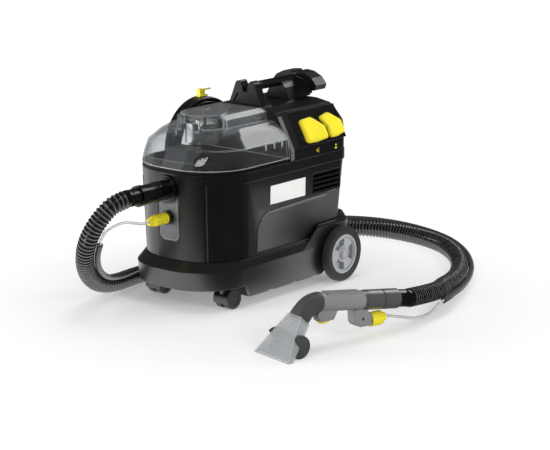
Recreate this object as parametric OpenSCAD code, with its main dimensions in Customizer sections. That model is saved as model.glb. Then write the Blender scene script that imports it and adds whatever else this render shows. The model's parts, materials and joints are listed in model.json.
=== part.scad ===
// Spot extractor: a wheeled spray and suction cleaner for upholstery and carpets.
// The machine's front faces -Y, its control panel is on the +X side, the floor is z = 0.

/* [Chassis] */
// Width of the chassis at its crease
chassis_w = 270; // [266:1:284]
// How far the chassis reaches in front of the machine's middle
chassis_front = 260; // [256:1:275]
// How far the chassis reaches behind the machine's middle
chassis_rear = 241; // [236:1:255]
// Height of the crease round the chassis
crease_z = 90; // [88:1:94]
// Height of the fender over the rear wheels
fender_z = 133; // [126:1:136]

/* [Wheels] */
// Radius of a rear wheel
wheel_r = 63; // [60:0.5:66]
// Width of a rear wheel
wheel_w = 19; // [16:0.5:24]
// Radius of a rear wheel's rim
rim_r = 44.5; // [40:0.5:48]
// Radius of the rear axle
axle_r = 6; // [4:0.5:8]
// Place of the rear axle along the machine
axle_y = 176; // [168:1:182]
// Radius of a caster wheel
caster_r = 23; // [20:0.5:24]
// How far the caster stems stand in from the chassis's crease
caster_inset = 36; // [34:1:42]
// Place of the caster stems along the machine
caster_y = -174; // [-182:1:-170]

/* [Body] */
// How far the body's top stands in from the chassis's crease
body_inset = 1; // [0:0.5:3]
// Height of the body's top edge
body_top = 298; // [290:1:304]
// Wall thickness of the moulded shells
wall = 4; // [3:0.5:5]
// Height of the suction port's middle
port_z = 262; // [258:1:266]
// Height of the spray coupling's middle
coupling_z = 200; // [190:1:206]

/* [Lid] */
// Height of the clear lid's turret
turret_top = 412; // [404:1:416]
// Radius of the clear turret over the float
turret_r = 58; // [54:1:62]
// Wall thickness of the clear lid
lid_wall = 3; // [2.5:0.5:4]
// Radius of the float cage
cage_r = 40; // [34:1:44]

/* [Housing and handle] */
// Height of the motor housing's top
housing_top = 408; // [400:1:412]
// Height of the grip's middle over the housing
grip_rise = 37; // [34:1:44]
// Radius of the grip
grip_r = 10; // [8:0.5:12]
// How far a pedal sinks when pressed
pedal_travel = 4; // [2:0.5:5]

/* [Hose and cord] */
// Outer radius of the suction hose over its ribs
hose_r = 20; // [18:0.5:20.5]
// Radius of the suction hose's bore
hose_bore = 15.5; // [12:0.5:16]
// Number of ribs along the suction hose
hose_ribs = 140; // [100:1:150]
// Radius of the power cord
cord_r = 4; // [3:0.1:4.1]
// Turns of the wound power cord, in four layers
cord_turns = 12; // [8:4:16]

/* [Hand tool] */
// Width of the hand tool's suction lip
lip_w = 111; // [100:1:124]
// Radius of the hand tool's tube
tube_r = 19.5; // [18:0.5:20]
// Length of the straight handle
handle_len = 111; // [100:1:120]

/* [Hidden] */
$fn = 96;

// The origin is under the middle of the machine and hand tool; these place the machine from it.
origin_x = 148;
origin_y = -76;
// Clearances: a running fit, a seated fit and a free gap between moving shells.
fit = 0.05;
seat = 0.3;
gap = 1;

// Sizes that follow from the driving ones.
body_w = chassis_w - 2 * body_inset;
caster_track = chassis_w - 2 * caster_inset;
grip_z = housing_top + grip_rise;

// Body outline: its foot is a little smaller than its top.
body_foot = 100;
foot_inset = 5;
body_front = 242;
body_rear = 222;
body_corner = 112;
rear_corner = 38;
foot_front = body_front - 8;
foot_rear = body_rear - 24;
foot_w = body_w - 2 * foot_inset;
side_draft = atan(foot_inset / (body_top - body_foot));
front_draft = atan((body_front - foot_front) / (body_top - body_foot));
// Seam between the clear lid and the motor housing.
seam_y = 8;
seal_h = 6;
lid_foot = body_top + seal_h;

module place() translate([-origin_x, -origin_y, 0]) children();

// Flat outline with two front corners of radius rf and two rear corners of radius rr.
module outline(w, front, rear, rf, rr) {
    for (s = [-1, 1]) {
        translate([s * (w / 2 - rf), rf - front]) circle(rf);
        translate([s * (w / 2 - rr), rear - rr]) circle(rr);
    }
    translate([rf - w / 2, -front]) square([w - 2 * rf, rf + 1]);
    translate([-w / 2, rf - front]) square([w, front + rear - rf - rr]);
    translate([rr - w / 2, rear - rr - 1]) square([w - 2 * rr, rr + 1]);
}

// Thin slice of an outline at height z, for lofting two outlines with a hull.
module slice(z, w, front, rear, rf, rr) {
    translate([0, 0, z]) linear_extrude(0.5) outline(w, front, rear, rf, rr, $fn = 64);
}

// Solid between the planes x0 and x1 whose side view (y, z) is the given outline.
module side_prism(points, x0, x1) {
    translate([x0, 0, 0]) rotate([90, 0, 90]) linear_extrude(x1 - x0) polygon(points);
}

// Solid between the planes y0 and y1 whose front view (x, z) is the given outline.
module front_prism(points, y0, y1) {
    translate([0, y1, 0]) rotate([90, 0, 0]) linear_extrude(y1 - y0) polygon(points);
}

// Cylinder along X between x0 and x1.
module bar_x(r, x0, x1) translate([x0, 0, 0]) rotate([0, 90, 0]) cylinder(r = r, h = x1 - x0);

// Cylinder along Y between y0 and y1.
module bar_y(r, y0, y1) translate([0, y0, 0]) rotate([-90, 0, 0]) cylinder(r = r, h = y1 - y0);

// ---- Chassis ----
skirt_z = 22;
bumper_z = 49.5;
skirt_in = 7;
deck_z = body_foot + 8;
chassis_corner = 112;
chassis_rear_corner = 42;
stem_r = 5.5;
stem_top = 86;

module chassis_form() {
    // skirt, drawn in towards its foot
    hull() {
        slice(skirt_z, chassis_w - 2 * skirt_in, chassis_front - skirt_in, chassis_rear - skirt_in,
            chassis_corner - skirt_in, chassis_rear_corner - skirt_in);
        slice(crease_z - 0.5, chassis_w, chassis_front, chassis_rear, chassis_corner, chassis_rear_corner);
    }
    // shoulder from the crease up to the body
    hull() {
        slice(crease_z - 0.5, chassis_w, chassis_front, chassis_rear, chassis_corner, chassis_rear_corner);
        slice(deck_z - 0.5, foot_w + 4, foot_front + 3, foot_rear + 14, body_corner - 3, rear_corner);
    }
    // fenders over the rear wheels
    fender_front = [52, 104];
    hull() {
        for (k = [0, 1])
            intersection() {
                slice([crease_z - 0.5, fender_z - 0.5][k], chassis_w - k * 3, chassis_front,
                    chassis_rear - k * 2, chassis_corner, chassis_rear_corner);
                translate([-chassis_w, fender_front[k], 0]) cube([2 * chassis_w, chassis_rear, 200]);
            }
    }
    hull() {
        for (k = [0, 1])
            intersection() {
                slice([fender_z - 0.5, fender_z + 16][k], chassis_w - 3 - k * 16, chassis_front,
                    chassis_rear - 2 - k * 9, chassis_corner, chassis_rear_corner - k * 4);
                translate([-chassis_w, 104 + k * 14, 0]) cube([2 * chassis_w, chassis_rear, 200]);
            }
    }
}

skirt_wall = 5;
cavity_in = skirt_in + skirt_wall;
boss_r = 12;
axle_boss = 40;

// Plan of the room inside the skirt, less t all round.
module chassis_room(t) {
    outline(chassis_w - 2 * (cavity_in + t), chassis_front - cavity_in - t, chassis_rear - cavity_in - t,
        chassis_corner - cavity_in - t, chassis_rear_corner - cavity_in - t);
}

// Underside of the machine, as a strip between two heights above its lowest line.
module underside(low, high) {
    line = [[-300, bumper_z], [-134, bumper_z], [-121, skirt_z], [126, skirt_z], [140, 31], [300, 44]];
    side_prism(concat([for (p = line) p + [0, low]], [for (i = [5 : -1 : 0]) line[i] + [0, high]]), -200,
        200);
}

module chassis() color("#3a3b3d") difference() {
    chassis_form();
    // room inside, with bosses for the casters and the axle
    difference() {
        translate([0, 0, 10]) linear_extrude(body_foot - skirt_wall - 10) chassis_room(0);
        for (s = [-1, 1]) {
            translate([s * caster_track / 2, caster_y, 0]) cylinder(r = boss_r, h = body_foot);
            translate([s * (chassis_w / 2 - axle_boss / 2 - skirt_wall), axle_y, wheel_r])
                bar_x(boss_r, -axle_boss / 2, axle_boss / 2);
        }
    }
    // the body stands in a pocket
    hull() {
        slice(body_foot, foot_w + 2 * seat, foot_front + seat, foot_rear + seat, body_corner - 4 + seat, 34);
        slice(200, foot_w + 2 * seat + 5, foot_front + seat + 4, foot_rear + seat + 12, body_corner, 34);
    }
    // the front bumper stands higher than the skirt, and the rear rises again
    underside(-100, 0);
    // shallow arches in the skirt's foot
    for (y = [-60, 20, 90])
        side_prism([[y, skirt_z - 1], [y + 4, skirt_z + 4], [y + 16, skirt_z + 4], [y + 20, skirt_z - 1]],
            -200, 200);
    // bore of the rear axle
    translate([0, axle_y, wheel_r]) bar_x(axle_r + fit / 2, -200, 200);
    // sockets of the caster stems
    for (s = [-1, 1])
        translate([s * caster_track / 2, caster_y, bumper_z - 5])
            cylinder(r = stem_r + fit, h = stem_top - bumper_z + 6);
}

// Plate that closes the chassis from below.
module bottom_plate() color("#26272a") difference() {
    intersection() {
        underside(0, 3.5);
        linear_extrude(100) chassis_room(seat);
    }
    for (s = [-1, 1])
        translate([s * caster_track / 2, caster_y, 0]) cylinder(r = boss_r + seat, h = 100);
}

// ---- Body ----
module body_form(inset, z0, z1) {
    hull() {
        slice(z0, foot_w - 2 * inset, foot_front - inset, foot_rear - inset, body_corner - 4 - inset,
            rear_corner - 4 - inset);
        slice(z1 - 0.5, body_w - 2 * inset, body_front - inset, body_rear - inset, body_corner - inset,
            rear_corner - inset);
    }
}

panel_w = 56;
panel_foot = 148;
panel_top = 250;
vent_y = [87, 189];
vent_z = [212, 258];
plate_y = [-58, 61];
plate_z = [215, 256];

// Moves children onto a drafted side of the body: x along the machine, y the height, z out of the side.
module on_side(s) mirror([s > 0 ? 0 : 1, 0, 0]) translate([foot_w / 2, 0, body_foot]) rotate([0,
    side_draft, 0])
    rotate([90, 0, 90]) translate([0, -body_foot, 0]) children();
flank_depth = 2.6;

// Half-width of the body at height z, on its flat sides.
function side_x(z) = foot_w / 2 + foot_inset * (z - body_foot) / (body_top - body_foot);

module body_shell() color("#2a2b2d") difference() {
    union() {
        body_form(0, body_foot, body_top);
        // band round the top of the sides
        intersection() {
            translate([0, 0, 276]) linear_extrude(body_top - 276)
                outline(body_w + 3, body_front + 1.5, body_rear + 1.5, body_corner + 1.5, rear_corner + 1.5);
            translate([-200, -155, 0]) cube([400, 500, 400]);
        }
        // vertical beads where the round front meets the flat sides
        for (s = [-1, 1])
            translate([s * 86, -207, 110]) rotate([2.2, s * side_draft, 0]) cylinder(r = 5, h = 166);
    }
    // inside, open at the top
    body_form(wall, body_foot + wall, body_top + 1);
    // sunk lower part of each side, behind a sloping edge
    for (s = [-1, 1])
        on_side(s) hull()
            for (k = [0, 1])
                translate([0, 0, (k - 1) * flank_depth]) linear_extrude(0.01 + k) polygon([[-93 - 6 * k, 112],
                    [-93 - 6 * k, 168 + 2 * k], [-81 - 4 * k, 185 + 5 * k], [-62 - 2 * k, 194 + 7 * k],
                    [230, 203 + 7 * k], [230, 112]]);
    // pocket of the front panel
    on_front() translate([0, wall + 1, 0]) rotate([90, 0, 0]) linear_extrude(20) polygon([
        [-panel_w / 2 - seat, panel_top + seat], [-panel_w / 2 - seat, panel_foot + 10],
        [10 - panel_w / 2, panel_foot - seat], [panel_w / 2 - 10, panel_foot - seat],
        [panel_w / 2 + seat, panel_foot + 10], [panel_w / 2 + seat, panel_top + seat]]);
    // suction port and spray coupling pass through the front
    translate([0, 0, port_z]) bar_y(port_r + seat, -body_front - 10, -150);
    translate([0, 0, coupling_z]) bar_y(socket_r + seat, -body_front - 10, -150);
    // windows of the cooling grilles
    for (s = [-1, 1])
        translate([s > 0 ? 100 : -200, vent_y[0], vent_z[0]])
            cube([100, vent_y[1] - vent_y[0], vent_z[1] - vent_z[0]]);
}

// Moves children into the drafted front face: y = 0 is its surface, z stays the height.
module on_front() translate([0, -foot_front, body_foot]) rotate([front_draft, 0, 0])
    translate([0, 0, -body_foot]) children();

// Smooth insert in the front of the body, a little below its surface, with its lower corners cut off.
module front_panel() color("#77797c") difference() {
    on_front() translate([0, 1.2 + 2.6, 0]) rotate([90, 0, 0]) linear_extrude(2.6)
        polygon([[-panel_w / 2, panel_top], [-panel_w / 2, panel_foot + 10], [10 - panel_w / 2, panel_foot],
            [panel_w / 2 - 10, panel_foot], [panel_w / 2, panel_foot + 10], [panel_w / 2, panel_top]]);
    translate([0, 0, port_z]) bar_y(port_r + seat, -body_front - 10, -150);
    translate([0, 0, coupling_z]) bar_y(socket_r + seat, -body_front - 10, -150);
}

// Bare plate on the body's side.
module label_plate() color("white")
    translate([side_x(plate_z[0]), 0, plate_z[0]]) rotate([0, side_draft, 0])
        translate([seat / 2, plate_y[0], 0]) cube([1.2, plate_y[1] - plate_y[0], plate_z[1] - plate_z[0]]);

// Grille of the cooling air: a frame with sloping slats.
vent_slats = 4;
module vent_grille(s) {
    h = vent_z[1] - vent_z[0] - 2 * seat;
    len = vent_y[1] - vent_y[0] - 2 * seat;
    depth = wall + 2;
    translate([s * (side_x(vent_z[0]) - 0.5), vent_y[0] + seat, vent_z[0] + seat]) mirror([s > 0 ? 0 : 1,
        0, 0])
        translate([-depth, 0, 0]) difference() {
            cube([depth, len, h]);
            for (i = [0 : vent_slats - 1])
                translate([-1, 4, 4 + i * (h - 3) / vent_slats])
                    cube([depth + 2, len - 8, (h - 3) / vent_slats - 4.5]);
        }
}
module vent_grille_right() color("#1c1d1f") vent_grille(1);
module vent_grille_left() color("#1c1d1f") vent_grille(-1);

// ---- Tanks ----
tank_gap = 3;
fresh_top = 190;
dirty_foot = 196;
dirty_rear = 4;

// The clean water stands in the foot of the body, under the dirty water tank.
module fresh_water_tank() color("#8d9296") difference() {
    fresh = wall + tank_gap;
    intersection() {
        body_form(fresh, body_foot + wall + seat, body_top);
        translate([-200, -300, body_foot]) cube([400, 300 + dirty_rear, fresh_top - body_foot]);
    }
    intersection() {
        body_form(fresh + wall, body_foot + 2 * wall, body_top);
        translate([-200, -300, body_foot]) cube([400, 300 + dirty_rear - wall, fresh_top - body_foot - wall]);
    }
    // filling mouth
    translate([80, -60, fresh_top - 20]) cylinder(r = 22, h = 30);
}

// The dirty water tank hangs in the body's mouth by its rim.
module dirty_water_tank() color("#1b1c1e") difference() {
    t = wall + tank_gap;
    intersection() {
        union() {
            body_form(t, body_foot + wall, body_top);
            translate([0, 0, body_top + seat]) linear_extrude(seal_h - 2 * seat)
                outline(body_w - 2, body_front - 1, body_rear, body_corner - 1, rear_corner);
            translate([0, 0, body_top - 1]) linear_extrude(2)
                outline(body_w - 2 * t, body_front - t, body_rear, body_corner - t, rear_corner);
        }
        translate([-200, -300, dirty_foot]) cube([400, 300 + dirty_rear, 400]);
    }
    intersection() {
        union() {
            body_form(t + 3, body_foot + wall, body_top);
            translate([0, 0, body_top - 1]) linear_extrude(20)
                outline(body_w - 2 * t - 6, body_front - t - 3, body_rear, body_corner - t - 3, rear_corner);
        }
        translate([-200, -300, dirty_foot + 3]) cube([400, 300 + dirty_rear - 3, 400]);
    }
    // the suction port enters through the front
    translate([0, 0, port_z]) bar_y(port_r + seat, -body_front - 10, -200);
}

// Duct that lifts the dirty water from the port into the dome and turns it down.
duct_top = 344;
duct_w = 58;
duct_front = body_front - 13;
duct_back = duct_front - 37;
duct_crest = duct_front - 22;
duct_foot = port_z - 24;
duct_bend = body_top + 2;
duct_deep = 24;
module intake_duct() color("#6d6f72") difference() {
    duct_end = turret_y - cage_r - 1;
    side_prism([[-duct_front, duct_foot], [-duct_front, duct_bend], [-duct_crest, duct_top], [duct_end,
        duct_top],
        [duct_end, duct_top - 10], [4 - duct_back, duct_top - duct_deep], [-duct_back, duct_foot]],
        -duct_w / 2, duct_w / 2);
    side_prism([[3 - duct_front, duct_foot + 3], [3 - duct_front, duct_bend], [2 - duct_crest, duct_top - 3],
        [duct_end + 9, duct_top - 3], [duct_end + 9, duct_top - 7], [2 - duct_back, duct_top - duct_deep + 3],
        [-duct_back - 3, duct_foot + 3]], 3 - duct_w / 2, duct_w / 2 - 3);
    translate([0, 0, port_z]) bar_y(hose_bore + 3, -duct_front - 10, -duct_crest);
}

// Rubber seal between the tank's rim and the clear lid.
module rim_seal() color("#151515") difference() {
    translate([0, 0, lid_foot]) linear_extrude(2.5) intersection() {
        outline(body_w - 1, body_front - 0.5, body_rear, body_corner - 0.5, rear_corner);
        translate([-200, -300]) square([400, 300 + seam_y - gap]);
    }
    translate([0, 0, lid_foot - 1]) linear_extrude(5) intersection() {
        outline(body_w - 15, body_front - 7.5, body_rear, body_corner - 7.5, rear_corner);
        translate([-200, -300]) square([400, 300 + seam_y - 8]);
    }
}

// ---- Clear lid ----
lid_z = lid_foot + 2.5 + seat;
turret_y = -122;
// Rings of the dome: height, side inset, front inset, front corner.
dome = [[0, 0, 0, 112], [16, 2, 5, 108], [42, 6, 27, 88], [64, 30, 52, 70], [76, 46, 75, 60]];

// Outside of the lid, or with t its inside.
module lid_form(t) {
    rear = seam_y - gap - t;
    intersection() {
        hull()
            for (k = dome)
                slice(lid_z + k[0] - (k[0] == 0 && t > 0 ? 2 : t * sign(k[0])), body_w - 2 * (k[1] + t),
                    body_front - k[2] - t, 80, k[3] - t, 20);
        translate([-200, -300, 0]) cube([400, 300 + rear, 600]);
    }
    // turret over the float, with a drawn-in crown
    translate([0, turret_y, lid_z + 20]) cylinder(r = turret_r - t, h = turret_top - 8 - t - lid_z - 20);
    translate([0, turret_y, turret_top - 8 - t]) cylinder(r1 = turret_r - t, r2 = turret_r - 9 - t, h = 8);
    // air channel from the turret back to the motor
    hull() {
        translate([-70 + t, turret_y, lid_z + 30]) cube([140 - 2 * t, rear - turret_y, 1]);
        translate([-66 + t, turret_y, turret_top - 10 - t]) cube([132 - 2 * t, rear - turret_y, 1]);
        translate([-56 + t, turret_y, turret_top - 3 - t]) cube([112 - 2 * t, rear - 10 - turret_y, 1]);
    }
}

module tank_lid() color([0.85, 0.9, 0.92, 0.35]) difference() {
    union() {
        lid_form(0);
        // upright ribs on the shoulders
        for (s = [-1, 1], y = [-70, -42, -16])
            translate([s * (body_w / 2 - 6) - 2.5, y, lid_z + 4]) cube([5, 3, 36]);
    }
    lid_form(lid_wall);
}

// Open cage that holds the float under the turret.
cage_z = [347, 391];
module float_cage() color("silver") translate([0, turret_y, 0]) {
    difference() {
        translate([0, 0, cage_z[0]]) cylinder(r = cage_r, h = cage_z[1] - cage_z[0]);
        translate([0, 0, cage_z[0] + 3]) cylinder(r = cage_r - 2.5, h = 100);
        translate([0, 0, cage_z[0] - 1]) cylinder(r = 12, h = 10);
    }
    // collar that hangs the cage from the turret's roof
    for (a = [45 : 90 : 315])
        rotate([0, 0, a]) translate([cage_r - 3, -3, cage_z[1] - 1])
            cube([2.8, 6, turret_top - lid_wall - seat - cage_z[1] + 1]);
}

// Float that shuts the air way when the tank is full.
float_r = 30;
module float_ball() color("white") translate([0, turret_y, 0]) {
    translate([0, 0, cage_z[0] + 3 + seat]) cylinder(r = float_r - 5, h = 20);
    translate([0, 0, cage_z[0] + 8]) cylinder(r = float_r, h = 18);
}

// Button that lets go of the clear lid.
release = [58, 27];
release_travel = 3;
module lid_release() color("#8f9194") translate([release[0], release[1], housing_top - 7]) {
    cylinder(r = 5, h = 9);
    translate([0, 0, 6]) cylinder(r = 6.5, h = 4.5);
}

// ---- Motor housing ----
panel_low = [body_w / 2, 322];
panel_high = [92, 400];
panel_tilt = atan((panel_low[0] - panel_high[0]) / (panel_high[1] - panel_low[1]));
panel_rise = norm(panel_high - panel_low);
panel_start = 46;
panel_len = 161;

module housing_form(t) {
    intersection() {
        translate([0, 0, body_top + seat]) linear_extrude(200)
            outline(body_w - 2 * t, body_front, body_rear - t, body_corner, rear_corner - t);
        front_prism([[-panel_low[0] + t, 200], [-panel_low[0] + t, panel_low[1]], [-panel_high[0] + t,
            panel_high[1] - t], [-62, housing_top - t], [62, housing_top - t], [panel_high[0] - t,
            panel_high[1] - t], [panel_low[0] - t, panel_low[1]], [panel_low[0] - t, 200]], -20, 260);
        side_prism([[seam_y + t, 200], [seam_y + t, 500], [60, 500], [188 - t, housing_top - t], [206 - t,
            392],
            [body_rear - t, 350], [body_rear - t, 200]], -200, 200);
    }
}

// Moves children into the panel's plane: x along the machine, y up the slope, z out of it.
module on_panel() translate([panel_low[0], 0, panel_low[1]]) rotate([0, -panel_tilt, 0])
    rotate([90, 0, 90]) children();

module housing_cut() {
    // seat of the control panel
    on_panel() translate([panel_start, 3, -3]) linear_extrude(30) square([panel_len, panel_rise - 8]);
    // wells of the pedals
    on_panel() for (p = [spray_points, suction_points])
        translate([0, 0, -pedal_skirt - pedal_travel - 10]) linear_extrude(40) pedal_outline(p, 2 * seat);
}

module motor_housing() color("#232426") difference() {
    housing_form(0);
    difference() {
        housing_form(5);
        // floor
        translate([-200, -200, 0]) cube([400, 500, body_top + 6]);
        // side wall behind the pedals
        on_panel() translate([30, -10, -27]) cube([200, 120, 30]);
    }
    housing_cut();
    // well of the lid's release button
    translate([release[0], release[1], housing_top - 1 - release_travel]) cylinder(r = 6.5 + seat, h = 20);
    translate([release[0], release[1], housing_top - 20]) cylinder(r = 5 + seat, h = 20);
}

// Pedal outlines in the panel's plane.
spray_points = [[69, 12], [70, 33], [69, 58], [76, 62], [107, 64], [114, 61], [147, 37], [146, 12], [140, 9],
    [106, 6], [76, 7]];
suction_points = [[152, 12], [154, 34], [139, 56], [143, 61], [168, 66], [176, 64], [207, 42], [207, 20],
    [201, 13],
    [178, 8], [157, 8]];

pedal_corner = 6;

// A pedal's outline with rounded corners, grown by a clearance.
module pedal_outline(points, grow) offset(r = pedal_corner + grow, $fn = 24) offset(delta = -pedal_corner)
    polygon(points);

// Panel round the pedals.
module control_panel() color("#141516") on_panel() difference() {
    translate([panel_start + seat, 3 + seat, -3 + seat])
        cube([panel_len - 2 * seat, panel_rise - 8 - 2 * seat, 3.5]);
    for (p = [spray_points, suction_points])
        translate([0, 0, -24]) linear_extrude(40) pedal_outline(p, seat);
}

// A yellow pedal: a rounded cap, crowned towards its middle, on a skirt that the panel guides.
pedal_skirt = 6 + pedal_travel;
module pedal(points) on_panel() {
    c = [for (i = [0, 1]) (min([for (p = points) p[i]]) + max([for (p = points) p[i]])) / 2];
    for (k = [[-pedal_skirt, 3.5 + pedal_skirt, 0], [3.4, 1.6, 0.04], [4.9, 1.1, 0.1], [5.9, 0.6, 0.2]])
        translate([0, 0, k[0]]) linear_extrude(k[1]) pedal_outline([for (p = points) p + (c - p) * k[2]], 0);
}
module spray_pedal() color("#f2e62b") pedal(spray_points);
module suction_pedal() color("#f2e62b") pedal(suction_points);

// ---- Inside the housing ----
motor_y = 112;
fan_r = 50;
fan_case = [62, 34];
motor_can = [45, 50];
pump_size = [50, 80, 46];
pump_x = -70;
module suction_motor() color("#55585c") translate([0, motor_y, 0]) difference() {
    union() {
        translate([0, 0, body_top + 6 + seat]) cylinder(r = fan_case[0], h = fan_case[1]);
        translate([0, 0, body_top + 40]) cylinder(r = motor_can[0], h = motor_can[1]);
        translate([0, 0, body_top + 40 + motor_can[1]]) cylinder(r = 16, h = 8);
    }
    // fan chamber, with its inlet below and outlets round it
    translate([0, 0, body_top + 10]) cylinder(r = fan_r + 4, h = 24);
    translate([0, 0, body_top]) cylinder(r = 22, h = 20);
    translate([0, 0, body_top]) cylinder(r = 5 + fit, h = 60);
}
module fan_rotor() color("silver") translate([0, motor_y, body_top + 14]) {
    cylinder(r = fan_r, h = 2);
    translate([0, 0, -4]) cylinder(r = 5, h = 48);
    for (a = [0 : 40 : 320])
        rotate([0, 0, a]) translate([14, 0, 1.5]) rotate([0, 0, 35]) cube([30, 1.6, 14]);
}
module spray_pump() color("#44474a") translate([0, 60, body_foot + wall + seat]) {
    translate([pump_x, 0, 0]) cube(pump_size);
    translate([pump_x + pump_size[0] / 2, pump_size[1], pump_size[2] / 2]) bar_y(20, 0, 34);
    translate([pump_x + pump_size[0] / 2, -18, pump_size[2] / 2]) bar_y(8, 0, 20);
}

// ---- Carrying handle ----
front_saddle_y = [seam_y + 6, 36];
rear_saddle_y = [184, 222];
// Front view of the saddles: the tool or hose lies in the notch between the two prongs.
front_saddle = [[-49, housing_top - 8], [-27, grip_z + 10], [-24, grip_z + 14], [-15, grip_z + 16],
    [-12, grip_z + 13], [-7, grip_z], [7, grip_z], [12, grip_z + 13], [15, grip_z + 16], [24, grip_z + 14],
    [27, grip_z + 10], [49, housing_top - 8]];
rear_saddle = [[-64, grip_z - 11], [-60, grip_z - 22], [-54, grip_z - 23], [-20, grip_z - 10], [-24,
    housing_top - 8],
    [24, housing_top - 8], [20, grip_z - 10], [54, grip_z - 23], [60, grip_z - 22], [64, grip_z - 11],
    [51, grip_z + 5], [29, grip_z + 15], [8, grip_z + 17], [5, grip_z + 10], [-5, grip_z + 10], [-8,
    grip_z + 17],
    [-29, grip_z + 15], [-51, grip_z + 5]];

module carry_handle() color("#1d1e20") difference() {
    union() {
        front_prism(front_saddle, front_saddle_y[0], front_saddle_y[1]);
        front_prism(rear_saddle, rear_saddle_y[0], rear_saddle_y[1]);
        translate([0, 0, grip_z]) bar_y(grip_r, front_saddle_y[0] + 4, rear_saddle_y[1] - 6);
        // column under the rear of the grip
        front_prism([[-40, housing_top - 8], [-22, grip_z - 12], [-12, grip_z], [12, grip_z], [22,
            grip_z - 12],
            [40, housing_top - 8]], 126, 200);
    }
    // the notches are carried through the grip's ends
    translate([-6, 0, grip_z + grip_r - 3]) cube([12, front_saddle_y[1] + 4, 40]);
    // the front saddle's fork runs deeper between its two prongs
    front_prism([[-11, grip_z + 20], [-6, grip_z - 8], [6, grip_z - 8], [11, grip_z + 20]], seam_y,
        front_saddle_y[0] + 9);
    // recess in the front saddle's face
    front_prism([[-36, housing_top + 2], [-22, grip_z - 12], [22, grip_z - 12], [36, housing_top + 2]],
        seam_y,
        front_saddle_y[0] + 3);
    // the handle stands on the housing
    translate([-200, -100, 0]) cube([400, 500, housing_top + seat]);
}

// ---- Front fittings ----
port_r = 26;
port_back = -235;
socket_back = -233;
socket_r = 13;
module suction_port() color("#131313") difference() {
    translate([0, 0, port_z]) union() {
        bar_y(port_r, -252, port_back);
        bar_y(port_r + 4, -foot_front - 6 - 8, -foot_front - 6 - 3);
    }
    translate([0, 0, port_z]) bar_y(cuff_r + seat, -300, port_back - 2);
    translate([0, 0, port_z]) bar_y(hose_bore, -300, -100);
}

module spray_socket() color("#131313") difference() {
    translate([0, 0, coupling_z]) union() {
        bar_y(socket_r, -246, socket_back);
        bar_y(socket_r + 3, -246, -240);
    }
    translate([0, 0, coupling_z]) bar_y(5 + fit, -260, socket_back + 5);
}

coupling_y = [-300, -248];
module spray_coupling() color("#f2e62b") translate([0, 0, coupling_z]) difference() {
    union() {
        bar_y(5, coupling_y[1] - 2, socket_back - 1);
        bar_y(12.5, coupling_y[0] + 16, coupling_y[1]);
        translate([0, coupling_y[0] + 6, 0]) rotate([-90, 0, 0]) cylinder(r1 = 9, r2 = 12.5, h = 10);
        bar_y(7, coupling_y[0], coupling_y[0] + 6);
    }
    for (a = [0 : 45 : 315])
        rotate([0, a, 0]) translate([12.9, 0, 0]) bar_y(1.6, coupling_y[0] + 18, coupling_y[1] - 6);
    bar_y(spray_r + seat, coupling_y[0] - 1, coupling_y[0] + 8);
}

// ---- Cord hook and gland ----
coil_y = 51;
coil_z = 293;
coil_pitch = 2 * cord_r + 0.7;
coil_in = 84;
coil_x = -148;
hook_r = 9;
hook_z = coil_z + coil_in - cord_r - hook_r - seat;
module cord_hook() color("#232426") {
    hook_end = coil_x - 4 * coil_pitch - 6;
    difference() {
        translate([0, coil_y, hook_z]) union() {
            bar_x(hook_r, hook_end, -96);
            // lip that keeps the cord on the hook
            translate([hook_end, -hook_r, 0]) cube([5, 2 * hook_r, 22]);
            translate([hook_end, 0, 22]) bar_x(hook_r, 0, 5);
        }
        hull() housing_side();
    }
}

// The left slope of the housing, which the hook is fixed to.
module housing_side() front_prism([[-panel_low[0] - seat, 200], [-panel_low[0] - seat, panel_low[1]],
    [-panel_high[0] - seat, panel_high[1]], [0, panel_high[1]], [0, 200]], -20, 260);

// Strain relief of the cord: a tapered sleeve with collars.
gland_y = 196;
gland_z = 330;
gland_end = -150;
gland_r = cord_r + 2;
module cord_gland() color("#131313") translate([0, gland_y, gland_z]) difference() {
    union() {
        bar_x(gland_r, gland_end, 8 - body_w / 2);
        for (k = [0 : 3])
            translate([gland_end + 3 + 4 * k, 0, 0]) bar_x(gland_r + 0.6 + 0.7 * k, 0, 2.4);
    }
    bar_x(cord_r + seat, gland_end - 10, gland_end + 10);
    housing_block();
}
module housing_block() translate([0, -gland_y, -gland_z]) housing_side();

// ---- Wheels ----
wheel_in = chassis_w / 2 + 2;
wheel_out = wheel_in + wheel_w;
module rear_axle() color("silver") translate([0, axle_y, wheel_r])
    difference() {
        bar_x(axle_r, -wheel_out + 3, wheel_out - 3);
        for (s = [-1, 1])
            translate([s * (wheel_out - 3), 0, 0]) bar_x(2, -6, 6);
    }

module at_wheel(s) translate([0, axle_y, wheel_r]) mirror([s > 0 ? 0 : 1, 0, 0]) children();

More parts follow.
